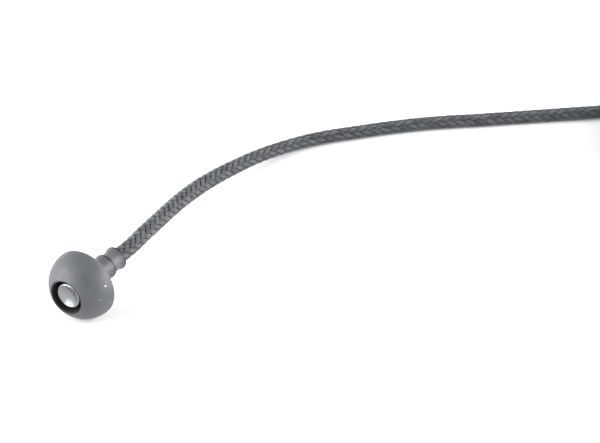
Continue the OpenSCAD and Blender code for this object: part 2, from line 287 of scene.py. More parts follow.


# %% [markdown]
# ## The braid's yarn
#
# The jacket is woven from rayon and cotton yarn, dyed dark grey. Yarn scatters light in many
# directions, has a soft sheen at grazing angles, and is never quite one shade. Each yarn gets
# its own slight tint from its number, a slow drift of shade along its length, and a fine twist
# of fibres. Real fibres are far too thin to show, so the twist is drawn at 0.35 mm. Where a yarn
# dips under the others its low parts are painted darker, which is painted shade with some dust.

# %% Dyed yarn
FIBRE_TWIST = 0.35
dyed_yarn, tree, shader = material("dyed_rayon_braid", Roughness=0.5)
shader.inputs["Sheen Weight"].default_value = 0.24
shader.inputs["Sheen Roughness"].default_value = 0.4
number = add(tree, "ShaderNodeAttribute", attribute_name="yarn")
along = add(tree, "ShaderNodeAttribute", attribute_name="travel")
around = add(tree, "ShaderNodeAttribute", attribute_name="around")
place = add(tree, "ShaderNodeTexCoord").outputs["Object"]
tint = add(tree, "ShaderNodeTexWhiteNoise", {"W": number.outputs["Fac"]}, noise_dimensions="1D")
drift = add(tree, "ShaderNodeTexNoise", {"Vector": place, "Scale": 1 / (1.6 * MM), "Detail": 4})
mixed = add(tree, MATH, {0: tint.outputs["Value"], 1: 0.35}, operation="MULTIPLY")
mixed = add(tree, MATH, {
    0: drift, 1: 0.9, 2: mixed,
}, operation="MULTIPLY_ADD")
shade = add(tree, "ShaderNodeValToRGB", {0: mixed})
shade.color_ramp.elements[0].position = 0.3
shade.color_ramp.elements[0].color = straight("222428")
shade.color_ramp.elements[1].position = 0.95
shade.color_ramp.elements[1].color = straight("55585e")
twist = add(tree, MATH, {0: along.outputs["Fac"], 1: 1 / FIBRE_TWIST}, operation="MULTIPLY")
twist = add(tree, MATH, {0: around.outputs["Fac"], 1: twist}, operation="ADD")
twist = add(tree, MATH, {0: twist, 1: 2 * math.pi}, operation="MULTIPLY")
twist = add(tree, MATH, {0: twist}, operation="SINE")
fibres = add(tree, "ShaderNodeBump", {
    "Height": twist, "Strength": 0.5, "Distance": 0.04 * MM,
})
# Painted shade: the low parts of each yarn, where it dips under the others, are darkened towards 0c0d0f.
raised = add(tree, "ShaderNodeAttribute", attribute_name="height")
dip_shade_amount = add(tree, "ShaderNodeMapRange", {
    "Value": raised.outputs["Fac"], "From Min": -0.3, "From Max": 1.0, "To Min": 0.1, "To Max": 1.0,
})
fade_start_and_dip_shade = add(tree, "ShaderNodeMix", {
    0: dip_shade_amount, 6: straight("0c0d0f"), 7: shade,
}, data_type="RGBA")
tree.links.new(fade_start_and_dip_shade.outputs[2], shader.inputs["Base Color"])
tree.links.new(fibres.outputs[0], shader.inputs["Normal"])
print("yarn twist every", FIBRE_TWIST, "mm")

# %% [markdown]
# ## The braid, grown on the route
#
# Sixteen carriers make this jacket: eight wind to the right and eight to the left, and each
# passes over two and then under two of the others. Every carrier lays down three thin ends
# side by side. Such a braid could be a flat picture wrapped round a tube, but then its outline
# would be smooth and its gaps would hold no shadow. So the ends are real, thin tubes.
#
# Geometry Nodes suit this, because one rule places every end. The tree copies the route once
# for each end, turns each copy round the route by the number of turns at that point, lifts and
# lowers it with a flattened cosine that has the crossings at its high and low parts, and
# sweeps a small ring along it. The route carries its own turns and girth as attributes.

# %% The braid's tree: which yarn is this?
CARRIERS = 8
ENDS = 3
END_RADIUS = 0.2 * MM
WEAVE_HEIGHT = 0.26 * MM
END_ANGLE = 0.2
CROWN = 0.05 * MM
CORE_CLEARANCE = 0.06

braid_tree, given = geometry_tree("braid", {
    "Ends": "Int", "Ends per carrier": "Int", "First carrier": "Int", "Hand": "Float",
    "End radius": "Float", "End angle": "Float", "Weave height": "Float", "Crown": "Float",
    "Sides": "Int", "Material": "Material",
})
line = add(braid_tree, "GeometryNodeMeshToCurve", {0: given["Geometry"]})
line = add(braid_tree, "GeometryNodeSetCurveNormal", {"Curve": line}, mode="Z_UP")
copies = add(braid_tree, "GeometryNodeDuplicateElements", {
    0: line, "Amount": given["Ends"],
}, domain="SPLINE")
index = copies.outputs["Duplicate Index"]
share = add(braid_tree, MATH, {0: index, 1: given["Ends per carrier"]}, operation="DIVIDE")
carrier = add(braid_tree, MATH, {0: share}, operation="FLOOR")
carrier = add(braid_tree, MATH, {
    0: carrier, 1: given["First carrier"],
}, operation="ADD").outputs[0]
middle = add(braid_tree, MATH, {
    0: given["Ends per carrier"], 1: 0.5, 2: -0.5,
}, operation="MULTIPLY_ADD")
end = add(braid_tree, MATH, {
    0: index, 1: given["Ends per carrier"],
}, operation="FLOORED_MODULO")
end = add(braid_tree, MATH, {0: end, 1: middle}, operation="SUBTRACT")
beside = add(braid_tree, MATH, {
    0: end, 1: given["End angle"],
}, operation="MULTIPLY").outputs[0]

# %% [markdown]
# The angle of an end is its carrier's place, its own place beside the carrier, and the winding
# so far. The same winding, counted in crossings, says when it passes over and when under.

# %% The braid's tree: its angle, and over or under
turned_by = add(braid_tree, "GeometryNodeInputNamedAttribute", {"Name": "turns"}, data_type="FLOAT")
wound = add(braid_tree, MATH, {
    0: turned_by, 1: given["Hand"],
}, operation="MULTIPLY").outputs[0]
angle = add(braid_tree, MATH, {
    0: carrier, 1: 2 * math.pi / CARRIERS, 2: beside,
}, operation="MULTIPLY_ADD")
angle = add(braid_tree, MATH, {
    0: wound, 1: 2 * math.pi, 2: angle,
}, operation="MULTIPLY_ADD").outputs[0]
crossing = add(braid_tree, MATH, {0: carrier, 1: 2.0, 2: 0.5}, operation="MULTIPLY_ADD")
crossing = add(braid_tree, MATH, {
    0: wound, 1: 2.0 * CARRIERS, 2: crossing,
}, operation="MULTIPLY_ADD")
crossing = add(braid_tree, MATH, {
    0: beside, 1: 4 / math.pi, 2: crossing,
}, operation="MULTIPLY_ADD")
quarter = add(braid_tree, MATH, {
    0: crossing, 1: math.pi / 2,
}, operation="MULTIPLY")
wave = add(braid_tree, MATH, {0: quarter}, operation="COSINE")
wave = add(braid_tree, MATH, {0: wave, 1: given["Hand"]}, operation="MULTIPLY")
wave = add(braid_tree, "ShaderNodeMapRange", {
    "Value": wave, "From Min": -0.62, "From Max": 0.62, "To Min": -1.0, "To Max": 1.0,
}).outputs[0]

# %% [markdown]
# The distance from the cord's middle is half the girth, less the yarn's own thickness, with the
# weave added. The middle end of three rides a little higher than its neighbours.

# %% The braid's tree: its place
girth_there = add(braid_tree, "GeometryNodeInputNamedAttribute", {"Name": "girth"}, data_type="FLOAT")
radius = add(braid_tree, MATH, {
    0: girth_there, 1: 0.5, 2: add(
        braid_tree, MATH, {0: given["End radius"], 1: -1.0}, operation="MULTIPLY"
    ).outputs[0],
}, operation="MULTIPLY_ADD")
radius = add(braid_tree, MATH, {
    0: radius, 1: given["Weave height"],
}, operation="SUBTRACT")
radius = add(braid_tree, MATH, {
    0: wave, 1: given["Weave height"], 2: radius,
}, operation="MULTIPLY_ADD")
sag = add(braid_tree, MATH, {0: end, 1: end}, operation="MULTIPLY")
sag = add(braid_tree, MATH, {0: sag, 1: given["Crown"]}, operation="MULTIPLY")
radius = add(braid_tree, MATH, {
    0: radius, 1: sag,
}, operation="SUBTRACT").outputs[0]
cosine = add(braid_tree, MATH, {0: angle}, operation="COSINE")
sine = add(braid_tree, MATH, {0: angle}, operation="SINE")
normal = add(braid_tree, "GeometryNodeInputNormal").outputs[0]
tangent = add(braid_tree, "GeometryNodeInputTangent").outputs[0]
third = add(braid_tree, VECTOR_MATH, {0: tangent, 1: normal}, operation="CROSS_PRODUCT")
across = add(braid_tree, VECTOR_MATH, {
    0: normal, "Scale": cosine,
}, operation="SCALE")
upward = add(braid_tree, VECTOR_MATH, {
    0: third, "Scale": sine,
}, operation="SCALE")
spoke = add(braid_tree, VECTOR_MATH, {
    0: across, 1: upward,
}, operation="ADD")
spoke = add(braid_tree, VECTOR_MATH, {
    0: spoke, "Scale": radius,
}, operation="SCALE")

# %% [markdown]
# Each copy of the route is moved there, and a ring of five sides is swept along it. The yarn's
# number is stored on it for the dye to read, and its height for the painted shade of its low parts.

# %% The braid's tree: the yarn itself
numbered = add(braid_tree, "GeometryNodeStoreNamedAttribute", {
    "Geometry": copies, "Name": "yarn", "Value": carrier,
}, data_type="FLOAT", domain="POINT")
raised = add(braid_tree, "GeometryNodeStoreNamedAttribute", {
    "Geometry": numbered, "Name": "height", "Value": wave,
}, data_type="FLOAT", domain="POINT")
laid = add(braid_tree, "GeometryNodeSetPosition", {
    "Geometry": raised, "Offset": spoke,
})
ring = add(braid_tree, "GeometryNodeCurvePrimitiveCircle", {
    "Resolution": given["Sides"], "Radius": given["End radius"],
})
factor = add(braid_tree, "GeometryNodeSplineParameter").outputs["Factor"]
ring = add(braid_tree, "GeometryNodeStoreNamedAttribute", {
    "Geometry": ring, "Name": "around", "Value": factor,
}, data_type="FLOAT", domain="POINT")
swept = add(braid_tree, "GeometryNodeCurveToMesh", {
    "Curve": laid, "Profile Curve": ring, "Fill Caps": True,
})
smooth = add(braid_tree, "GeometryNodeSetShadeSmooth", {0: swept, "Shade Smooth": True})
close_tree(braid_tree, smooth.outputs[0], given["Material"])

# %% [markdown]
# The braid is grown in four pieces, half a direction at a time, so that none grows too heavy.

# %% Grow the braid in four pieces
def route_mesh():
    """The route as a mesh of edges, with the distance, the turns and the girth at each point."""
    mesh = bpy.data.meshes.new("route")
    mesh.from_pydata(route.tolist(), [(i, i + 1) for i in range(len(route) - 1)], [])
    for label, values in (("travel", travel / MM), ("turns", turns), ("girth", girth * MM)):
        mesh.attributes.new(label, "FLOAT", "POINT").data.foreach_set("value", values.astype("f"))
    return mesh


braid = []
for hand, way in ((1.0, "right"), (-1.0, "left")):
    for first in (0, CARRIERS // 2):
        braid.append(grow(f"braid_{way}_{first}", route_mesh(), braid_tree, {
            "Ends": ENDS * CARRIERS // 2, "Ends per carrier": ENDS, "First carrier": first,
            "Hand": hand, "End radius": END_RADIUS, "End angle": END_ANGLE,
            "Weave height": WEAVE_HEIGHT, "Crown": CROWN, "Sides": 5, "Material": dyed_yarn,
        }))

# %% [markdown]
# ## The cord's core
#
# Under the braid lies a steel conduit in a dark rubbered wrap. It fills the braid's gaps with
# shadow, and it is the piece that says how long and how thick the cord is. It is a plain tube
# swept along every fourth point of the route, a little inside the lower yarns.

# %% Core tube
def swept_tube(name, centres, radii, sides):
    """A closed tube with a ring round each centre, square to the line there."""
    along = np.gradient(centres, axis=0)
    along /= np.linalg.norm(along, axis=1)[:, None]
    side = np.cross(along, [0, 0, 1])
    side /= np.linalg.norm(side, axis=1)[:, None]
    up = np.cross(side, along)
    turn = np.linspace(0, 2 * math.pi, sides, endpoint=False)
    spokes = np.cos(turn)[:, None] * side[:, None] + np.sin(turn)[:, None] * up[:, None]
    rings = centres[:, None] + radii[:, None, None] * spokes
    count = len(centres)
    faces = [
        (
            i * sides + k, i * sides + (k + 1) % sides,
            (i + 1) * sides + (k + 1) % sides, (i + 1) * sides + k,
        )
        for i in range(count - 1) for k in range(sides)
    ]
    faces += [tuple(range(sides - 1, -1, -1)), tuple(range((count - 1) * sides, count * sides))]
    return mesh_piece(name, rings.reshape(-1, 3), faces)


def mesh_piece(name, points, faces):
    """A piece from points in metres and faces, with doubles merged and every face outward."""
    mesh = bpy.data.meshes.new(name)
    mesh.from_pydata([tuple(p) for p in points], [], faces)
    work = bmesh.new()
    work.from_mesh(mesh)
    bmesh.ops.remove_doubles(work, verts=work.verts, dist=1e-7)
    bmesh.ops.recalc_face_normals(work, faces=work.faces)
    work.to_mesh(mesh)
    work.free()
    mesh.shade_smooth()
    mesh.set_sharp_from_angle(angle=math.radians(34))
    piece = bpy.data.objects.new(name, mesh)
    bpy.context.collection.objects.link(piece)
    print(name, "has", len(mesh.vertices), "points and", len(mesh.polygons), "faces")
    return piece


core_line = route[::4]
core_radii = (girth[::4] / 2 * MM) - END_RADIUS - WEAVE_HEIGHT - CORE_CLEARANCE * MM
core = swept_tube("cord_core", core_line, core_radii, 16)

# %% [markdown]
# ## Turning on a lathe
#
# The ball, the gland, the button and the tip were all turned from bar, so they are made the
# same way here: half an outline is spun round an axis. Blender's Screw modifier does this too,
# but a short function gives full control of the rounded corners. Each corner of an outline may
# have a small radius, because a real edge is never perfectly sharp, and it is the rounding
# that catches the light as a thin bright line.

# %% Rounded outlines and turned pieces
GRIP_X = -3.0
GRIP_Z = 9.5
FRONT = 9.3
BALL_R = 9.5
TIP = (195.0, -81.0, 3.4)


def rounded(corners, cuts=4):
    """An outline with its corners rounded. A corner is (station, radius, rounding) in mm."""
    out = []
    count = len(corners)
    for i, corner in enumerate(corners):
        if len(corner) < 3:
            out.append(corner)
            continue
        here = np.array(corner[:2], float)
        back = np.array(corners[i - 1][:2], float) - here
        ahead = np.array(corners[(i + 1) % count][:2], float) - here
        reach = min(np.linalg.norm(back), np.linalg.norm(ahead)) * 0.49
        back /= np.linalg.norm(back)
        ahead /= np.linalg.norm(ahead)
        half = math.acos(max(-1.0, min(1.0, float(back @ ahead)))) / 2
        run = min(corner[2] / math.tan(half), reach)
        size = run * math.tan(half)
        middle = here + (back + ahead) / np.linalg.norm(back + ahead) * size / math.sin(half)
        first = here + back * run - middle
        last = here + ahead * run - middle
        for k in range(cuts + 1):
            share = k / cuts
            spoke = first * (1 - share) + last * share
            out.append(tuple(middle + spoke / np.linalg.norm(spoke) * size))
    return out


def turned(name, outline, place, sides=160):
    """A closed outline of (station, radius) points in mm, turned round an axis along +X."""
    turn = np.linspace(0, 2 * math.pi, sides, endpoint=False)
    points = [
        ((place[0] + u) * MM, (place[1] + r * math.cos(a)) * MM, (place[2] + r * math.sin(a)) * MM)
        for u, r in outline for a in turn
    ]
    count = len(outline)
    faces = []
    for i in range(count):
        j = (i + 1) % count
        if outline[i][1] < 1e-6 and outline[j][1] < 1e-6:
            continue
        for k in range(sides):
            m = (k + 1) % sides
            faces.append((i * sides + k, j * sides + k, j * sides + m, i * sides + m))
    return mesh_piece(name, points, faces)


ON_GRIP = (GRIP_X, 0.0, GRIP_Z)

# %% [markdown]
# ## Finishes of the grip
#
# The ball and the gland are turned aluminium, sprayed and stoved in a satin grey enamel. A
# sprayed coat has a very fine orange peel about 0.6 mm across, small differences in gloss, and
# a few dust specks. An enamel is a resin full of pigment, so it reflects like plastic: no metal
# in it, and an IOR of 1.5. A thin near-black band is painted along the back edges of the two
# lips; this is painted shade, for the dark that lies on their rounded back edges. Years of use
# show too: one small chip and one faint scuff lie on the near flank of the ball. Both are
# placed by a station on the dome and a turn round it, so they stay put if the ball grows.

# %% Stoved enamel
LIP_EDGES = (GRIP_X + 8.93, GRIP_X + 13.65)
LIP_SHADE_HALF = 0.3


def on_dome(station, degrees):
    """A point in metres on the front dome, at a station from its middle and a turn from +Y."""
    reach = BALL_R * math.sqrt(1 - (station / FRONT) ** 2)
    turn = math.radians(degrees)
    return Vector((GRIP_X + station, reach * math.cos(turn), GRIP_Z + reach * math.sin(turn))) * MM


CHIP = on_dome(-2.1, 158)
SCUFF = on_dome(-4.4, 178)
stoved_enamel, tree, shader = material("stoved_grey_enamel", IOR=1.5)
shader.inputs["Specular IOR Level"].default_value = 0.36
place = add(tree, "ShaderNodeTexCoord").outputs["Object"]
cloud = add(tree, "ShaderNodeTexNoise", {"Vector": place, "Scale": 1 / (5 * MM), "Detail": 5})
shade = add(tree, "ShaderNodeValToRGB", {0: cloud})
shade.color_ramp.elements[0].position = 0.3
shade.color_ramp.elements[0].color = straight("46484c")
shade.color_ramp.elements[1].position = 0.7
shade.color_ramp.elements[1].color = straight("505256")
specks = add(tree, "ShaderNodeTexVoronoi", {"Vector": place, "Scale": 1 / (2.4 * MM), "Randomness": 1.0})
speck = add(tree, "ShaderNodeMapRange", {
    "Value": specks.outputs["Distance"], "From Min": 0.035, "From Max": 0.06, "To Min": 0.5, "To Max": 0.0,
})
dusted = add(tree, "ShaderNodeMix", {
    0: speck, 6: shade, 7: straight("787a7c"),
}, data_type="RGBA")
station = add(tree, "ShaderNodeSeparateXYZ", {0: place}).outputs[0]
# Painted shade: a near-black band, 0.3 mm each side of each lip's back edge.
lip_shade = None
for lip in LIP_EDGES:
    band = add(tree, MATH, {
        0: station, 1: lip * MM, 2: LIP_SHADE_HALF * MM,
    }, operation="COMPARE").outputs[0]
    if lip_shade is None:
        lip_shade = band
    else:
        lip_shade = add(tree, MATH, {0: lip_shade, 1: band}, operation="ADD").outputs[0]
lip_shaded = add(tree, "ShaderNodeMix", {
    0: lip_shade, 6: dusted.outputs[2], 7: straight("0c0d0f"),
}, data_type="RGBA")
to_chip = add(tree, VECTOR_MATH, {0: place, 1: CHIP}, operation="DISTANCE")
chipped = add(tree, "ShaderNodeMapRange", {
    "Value": to_chip.outputs["Value"], "From Min": 0.18 * MM, "From Max": 0.32 * MM,
    "To Min": 0.9, "To Max": 0.0,
})
bared = add(tree, "ShaderNodeMix", {
    0: chipped, 6: lip_shaded.outputs[2], 7: straight("d0d2d4"),
}, data_type="RGBA")
off_scuff = add(tree, VECTOR_MATH, {0: place, 1: SCUFF}, operation="SUBTRACT")
squeezed = add(tree, VECTOR_MATH, {0: off_scuff, 1: (1, 1, 6)}, operation="MULTIPLY")
to_scuff = add(tree, VECTOR_MATH, {0: squeezed}, operation="LENGTH")
scuffed = add(tree, "ShaderNodeMapRange", {
    "Value": to_scuff.outputs["Value"], "From Min": 0.4 * MM, "From Max": 1.1 * MM,
    "To Min": 0.3, "To Max": 0.0,
})
rubbed = add(tree, "ShaderNodeMix", {
    0: scuffed, 6: bared.outputs[2], 7: straight("9a9c9e"),
}, data_type="RGBA")
tree.links.new(rubbed.outputs[2], shader.inputs["Base Color"])
patches = add(tree, "ShaderNodeTexNoise", {"Vector": place, "Scale": 1 / (2.2 * MM), "Detail": 6})
gloss = add(tree, "ShaderNodeMapRange", {
    "Value": patches, "From Min": 0.3, "From Max": 0.7, "To Min": 0.42, "To Max": 0.54,
})
tree.links.new(gloss.outputs[0], shader.inputs["Roughness"])
peel = add(tree, "ShaderNodeTexNoise", {"Vector": place, "Scale": 1 / (0.6 * MM), "Detail": 3})
skin = add(tree, "ShaderNodeBump", {"Height": peel, "Strength": 0.25, "Distance": 0.03 * MM})
tree.links.new(skin.outputs[0], shader.inputs["Normal"])

# %% [markdown]
# ## The black lining
#
# The recess is lined with a cup of black plastic, pressed in a mould. Its near-black, a little
# dull colour is partly painted shade: it also stands in for the shade deep in the recess, so the
# mouth of the ball reads as a dark hole. The floor of the cup holds dust.

# %% Moulded black plastic, with painted recess shade
black_plastic, tree, shader = material("moulded_black_plastic", IOR=1.49)
shader.inputs["Specular IOR Level"].default_value = 0.3
place = add(tree, "ShaderNodeTexCoord").outputs["Object"]
dust = add(tree, "ShaderNodeTexNoise", {"Vector": place, "Scale": 1 / (0.8 * MM), "Detail": 6})
# Near black: partly the plastic's own colour, partly painted shade of the deep recess.
shade = add(tree, "ShaderNodeValToRGB", {0: dust})
shade.color_ramp.elements[0].position = 0.45
shade.color_ramp.elements[0].color = straight("1c1c1e")
shade.color_ramp.elements[1].position = 0.8
shade.color_ramp.elements[1].color = straight("2a2a2c")
tree.links.new(shade.outputs[0], shader.inputs["Base Color"])
gloss = add(tree, "ShaderNodeMapRange", {"Value": dust, "To Min": 0.5, "To Max": 0.75})
tree.links.new(gloss.outputs[0], shader.inputs["Roughness"])

# %% [markdown]
# ## Metals
#
# Five metals share one recipe: a base colour, full metal, a roughness that drifts a little,
# and the fine rings that a lathe tool leaves. The rings run round an axis along X, so they are
# drawn from the station along X on cylindrical sides, and from the distance to the axis on end
# faces. Both are in one wave of distance from a point on the axis.

# %% Turned metals
def turned_metal(name, code, rough, axis, ring_step, depth):
    """A metal with lathe rings ring_step millimetres apart round the given axis point."""
    made, tree, shader = material(name, Metallic=1.0)
    place = add(tree, "ShaderNodeTexCoord").outputs["Object"]
    centred = add(tree, "ShaderNodeMapping", {"Vector": place, "Location": Vector(axis) * -MM})
    stain = add(tree, "ShaderNodeTexNoise", {"Vector": place, "Scale": 1 / (1.5 * MM), "Detail": 6})
    dull = Vector(straight(code)) * 0.8
    shade = add(tree, "ShaderNodeMix", {
        0: stain, 6: straight(code), 7: (*dull[:3], 1),
    }, data_type="RGBA")
    tree.links.new(shade.outputs[2], shader.inputs["Base Color"])
    gloss = add(tree, "ShaderNodeMapRange", {
        "Value": stain, "From Min": 0.3, "From Max": 0.7,
        "To Min": rough * 0.8, "To Max": rough * 1.25,
    })
    tree.links.new(gloss.outputs[0], shader.inputs["Roughness"])
    rings = add(tree, "ShaderNodeTexWave", {
        "Vector": centred, "Scale": 0.314 / (ring_step * MM), "Distortion": 0.4, "Detail": 2,
    }, wave_type="RINGS", rings_direction="SPHERICAL")
    groove = add(tree, "ShaderNodeBump", {
        "Height": rings.outputs["Fac"], "Strength": 0.4, "Distance": depth * MM,
    })
    tree.links.new(groove.outputs[0], shader.inputs["Normal"])
    return made


button_metal = turned_metal("turned_bright_nickel_silver", "8a8c90", 0.28, ON_GRIP, 0.12, 0.004)
steel = turned_metal("drawn_steel", "84878b", 0.3, ON_GRIP, 0.1, 0.004)
brass = turned_metal("turned_brass", "9c7f3e", 0.28, ON_GRIP, 0.12, 0.004)
blued_steel = turned_metal("blued_spring_steel", "3c3e43", 0.38, ON_GRIP, 0.1, 0.004)
nickel = turned_metal("nickel_plated_brass", "9a9891", 0.22, TIP, 0.12, 0.004)
print(len(bpy.data.materials), "materials so far")

# %% [markdown]
# ## The ball and its neck
#
# The shell is one turned piece: a deep dome that the mouth cuts off, a shallow rounded back,
# and a neck with a small lip. Dome and back are two half ellipses that share the widest ring.
# A Bezier fillet leads from the back into the neck, which then flares out to its lip.

# %% Shell outline
BACK = 2.6
RIM = -7.895
MOUTH_R = 4.94
FLOOR = -0.295
BORE_R = 2.4
FILLET_R = 6.0
FILLET_START = BACK * math.sqrt(1 - (FILLET_R / BALL_R) ** 2)
FILLET_END = 5.6
FILLET_PULL = 2.2
NECK_R = 3.1
NECK_END = 9.25
LIP_R = 3.45


def waist(wide, narrow, end, start, stop, steps=24):
    """Points that curve in from one radius to the narrowest, and out again to another."""
    out = []
    for i in range(steps + 1):
        share = i / steps
        edge = wide if share < 0.5 else end
        out.append((start + (stop - start) * share, narrow + (edge - narrow) * (2 * share - 1) ** 2))
    return out


rim_angle = math.asin(-RIM / FRONT)
back_angle = math.asin(FILLET_START / BACK)
dome = [(-FRONT * math.sin(a), BALL_R * math.cos(a)) for a in np.linspace(rim_angle, 0, 70)]
back = [(BACK * math.sin(a), BALL_R * math.cos(a)) for a in np.linspace(0, back_angle, 40)[1:]]
steep = np.array([1, -FILLET_START * BALL_R**2 / (FILLET_R * BACK**2)])
pull = [
    np.array([FILLET_START, FILLET_R]),
    np.array([FILLET_START, FILLET_R]) + FILLET_PULL * steep / np.linalg.norm(steep),
    np.array([FILLET_END - FILLET_PULL, NECK_R]),
    np.array([FILLET_END, NECK_R]),
]
fillet = [
    tuple(
        (1 - t) ** 3 * pull[0] + 3 * t * (1 - t) ** 2 * pull[1]
        + 3 * t * t * (1 - t) * pull[2] + t**3 * pull[3]
    )
    for t in np.linspace(0, 1, 25)[1:-1]
]
neck = [
    (FILLET_END + (NECK_END - 0.5 - FILLET_END) * t, NECK_R + (LIP_R - NECK_R) * t * t)
    for t in np.linspace(0, 1, 12)
]
shell_outline = rounded(dome + back + fillet + neck + [
    (NECK_END, LIP_R, 0.15), (NECK_END, BORE_R, 0.1), (FLOOR, BORE_R, 0.05),
    (FLOOR, MOUTH_R, 0.05), (RIM, MOUTH_R, 0.03),
])
shell = turned("ball_shell", shell_outline, ON_GRIP, 220)
shell.data.materials.append(stoved_enamel)

# %% [markdown]
# ## The black cup in the mouth
#
# The cup's edge stands just behind the rim, so the rim shows as a thin grey line round the
# dark hole. Its wall is thin and its edge is rounded.

# %% Cup
CUP_R = 4.92
CUP_EDGE = RIM + 0.06
WALL = 0.35
cup = turned("recess_cup", rounded([
    (CUP_EDGE, CUP_R, 0.04), (FLOOR, CUP_R, 0.05), (FLOOR, BORE_R, 0.05),
    (FLOOR - 0.5, BORE_R, 0.1), (FLOOR - 0.5, CUP_R - WALL, 0.5), (CUP_EDGE, CUP_R - WALL, 0.15),
]), ON_GRIP, 160)
cup.data.materials.append(black_plastic)

# %% [markdown]
# ## The push button
#
# The thumb presses a flat metal head with a shallow dish. Its outer edge is well rounded. The
# dish is drawn as a smooth curve, because it is the slope of the dish that throws back the
# light as a curved gleam. Behind the head a short hub takes the rod.

# %% Button
BUTTON_TOP = RIM + 0.8
BUTTON_R = 3.6
DISH_R = 3.15
DISH = 0.8
dish = [(BUTTON_TOP + DISH * (1 - (r / DISH_R) ** 2), r) for r in np.linspace(0, DISH_R, 24)]
edge_round = BUTTON_R - DISH_R
brow = [
    (BUTTON_TOP + edge_round * (1 - math.sin(a)), DISH_R + edge_round * math.cos(a))
    for a in np.linspace(math.pi / 2, 0, 14)[1:]
]
button = turned("push_button", rounded(dish + brow + [
    (BUTTON_TOP + 1.8, BUTTON_R, 0.15), (BUTTON_TOP + 1.8, 1.5, 0.1),
    (BUTTON_TOP + 3.2, 1.5, 0.1), (BUTTON_TOP + 3.2, 0.82, 0.05), (BUTTON_TOP + 1.1, 0.82),
    (BUTTON_TOP + 1.1, 0),
]), ON_GRIP, 160)
button.data.materials.append(button_metal)

# %% [markdown]
# ## The gland behind the neck
#
# A second collar clamps the cord. It has its own waist and lip, and a spigot inside the neck.
# A narrow step between the two collars shows as a thin dark line, darkened further by the painted shade on
# the lips' back edges.

# %% Gland
EXIT = 13.95
gland_outline = rounded([(NECK_END + 0.02, 2.95, 0.08)] + waist(
    2.95, 2.85, 3.3, NECK_END + 0.3, EXIT - 0.5
) + [
    (EXIT, 3.3, 0.2), (EXIT, 2.02, 0.1), (EXIT - 2.02, 2.02, 0.05), (EXIT - 2.02, 1.7, 0.05),
    (NECK_END - 1.4, 1.7, 0.05), (NECK_END - 1.4, 2.38, 0.1), (NECK_END + 0.02, 2.38, 0.02),
])
gland = turned("cord_gland_collar", gland_outline, ON_GRIP, 160)
gland.data.materials.append(stoved_enamel)

# %% [markdown]
# ## Helices: the spring and the thread
#
# A spring and a screw thread are the same shape with other sizes: a helix with a small section
# swept along it. So one Geometry Nodes tree makes both. It draws a spiral up +Z, turns it to
# lie along +X, and sweeps a ring of few sides along it. With four sides the ring is a little
# square on its corner, which is the V of a thread. The share called rest holds the first and
# last part of the spiral at its end, which closes a spring's ends, and fade thins the section
# there, which lets a thread run out.

# %% The helix tree
helix_tree, given = geometry_tree("helix", {
    "Turns": "Float", "First radius": "Float", "Last radius": "Float", "Length": "Float",
    "Place": "Vector", "Wire radius": "Float", "Sides": "Int", "Rest": "Float", "Fade": "Float",
    "Material": "Material",
})
spiral = add(helix_tree, "GeometryNodeCurveSpiral", {
    "Resolution": 40, "Rotations": given["Turns"], "Start Radius": given["First radius"],
    "End Radius": given["Last radius"], "Height": given["Length"],
})
share = add(helix_tree, "GeometryNodeSplineParameter").outputs["Factor"]
past = add(helix_tree, MATH, {0: 1.0, 1: given["Rest"]}, operation="SUBTRACT")
held = add(helix_tree, "ShaderNodeMapRange", {
    "Value": share, "From Min": given["Rest"], "From Max": past,
    "To Min": 0.0, "To Max": given["Length"],
})
here = add(helix_tree, "GeometryNodeInputPosition").outputs[0]
spot = add(helix_tree, "ShaderNodeSeparateXYZ", {0: here})
turned_spot = add(helix_tree, "ShaderNodeCombineXYZ", {
    0: held, 1: spot, 2: spot.outputs[1],
})
moved = add(helix_tree, VECTOR_MATH, {
    0: turned_spot, 1: given["Place"],
}, operation="ADD")
laid = add(helix_tree, "GeometryNodeSetPosition", {
    "Geometry": spiral, "Position": moved,
})
near_end = add(helix_tree, MATH, {0: share, 1: 0.5}, operation="SUBTRACT")
near_end = add(helix_tree, MATH, {0: near_end}, operation="ABSOLUTE")
fade_start_and_dip_shade = add(helix_tree, MATH, {0: 0.5, 1: given["Fade"]}, operation="SUBTRACT")
thin = add(helix_tree, "ShaderNodeMapRange", {
    "Value": near_end, "From Min": fade_start_and_dip_shade, "From Max": 0.5001,
    "To Min": 1.0, "To Max": 0.25,
})
sized = add(helix_tree, "GeometryNodeSetCurveRadius", {
    "Curve": laid, "Radius": thin,
})
section = add(helix_tree, "GeometryNodeCurvePrimitiveCircle", {
    "Resolution": given["Sides"], "Radius": given["Wire radius"],
})
swept = add(helix_tree, "GeometryNodeCurveToMesh", {
    "Curve": sized, "Profile Curve": section, "Fill Caps": True,
})
smooth = add(helix_tree, "GeometryNodeSetShadeSmooth", {0: swept, "Shade Smooth": True})
close_tree(helix_tree, smooth.outputs[0], given["Material"])


def helix(name, start, length, count, first, last, wire, place, finish, sides=8, rest=0.0, fade=0.0001):
    """A helix that starts at a station on an axis, with all its sizes in millimetres."""
    return grow(name, bpy.data.meshes.new(name + "_base"), helix_tree, {
        "Turns": float(count), "First radius": first * MM, "Last radius": last * MM,
        "Length": length * MM, "Place": tuple(v * MM for v in (place[0] + start, place[1], place[2])),
        "Wire radius": wire * MM, "Sides": sides, "Rest": rest, "Fade": fade, "Material": finish,
    })

# %% [markdown]
# The return spring is drawn steel wire. Its ends rest closed, as a ground spring's do.

# %% Return spring
SPRING_R = 1.95
spring = helix("return_coil_spring", RIM + 2.9, 8.3, 9, SPRING_R, SPRING_R, 0.2, ON_GRIP, steel, 8, 0.06)

# %% [markdown]
# ## The tip
#
# The cord ends in a waisted ferrule, like the gland's. A knurled collar turns freely on the
# barrel behind it and carries the tapered thread that screws into the camera. A pin slides
# in the middle of the thread and pushes the shutter release.

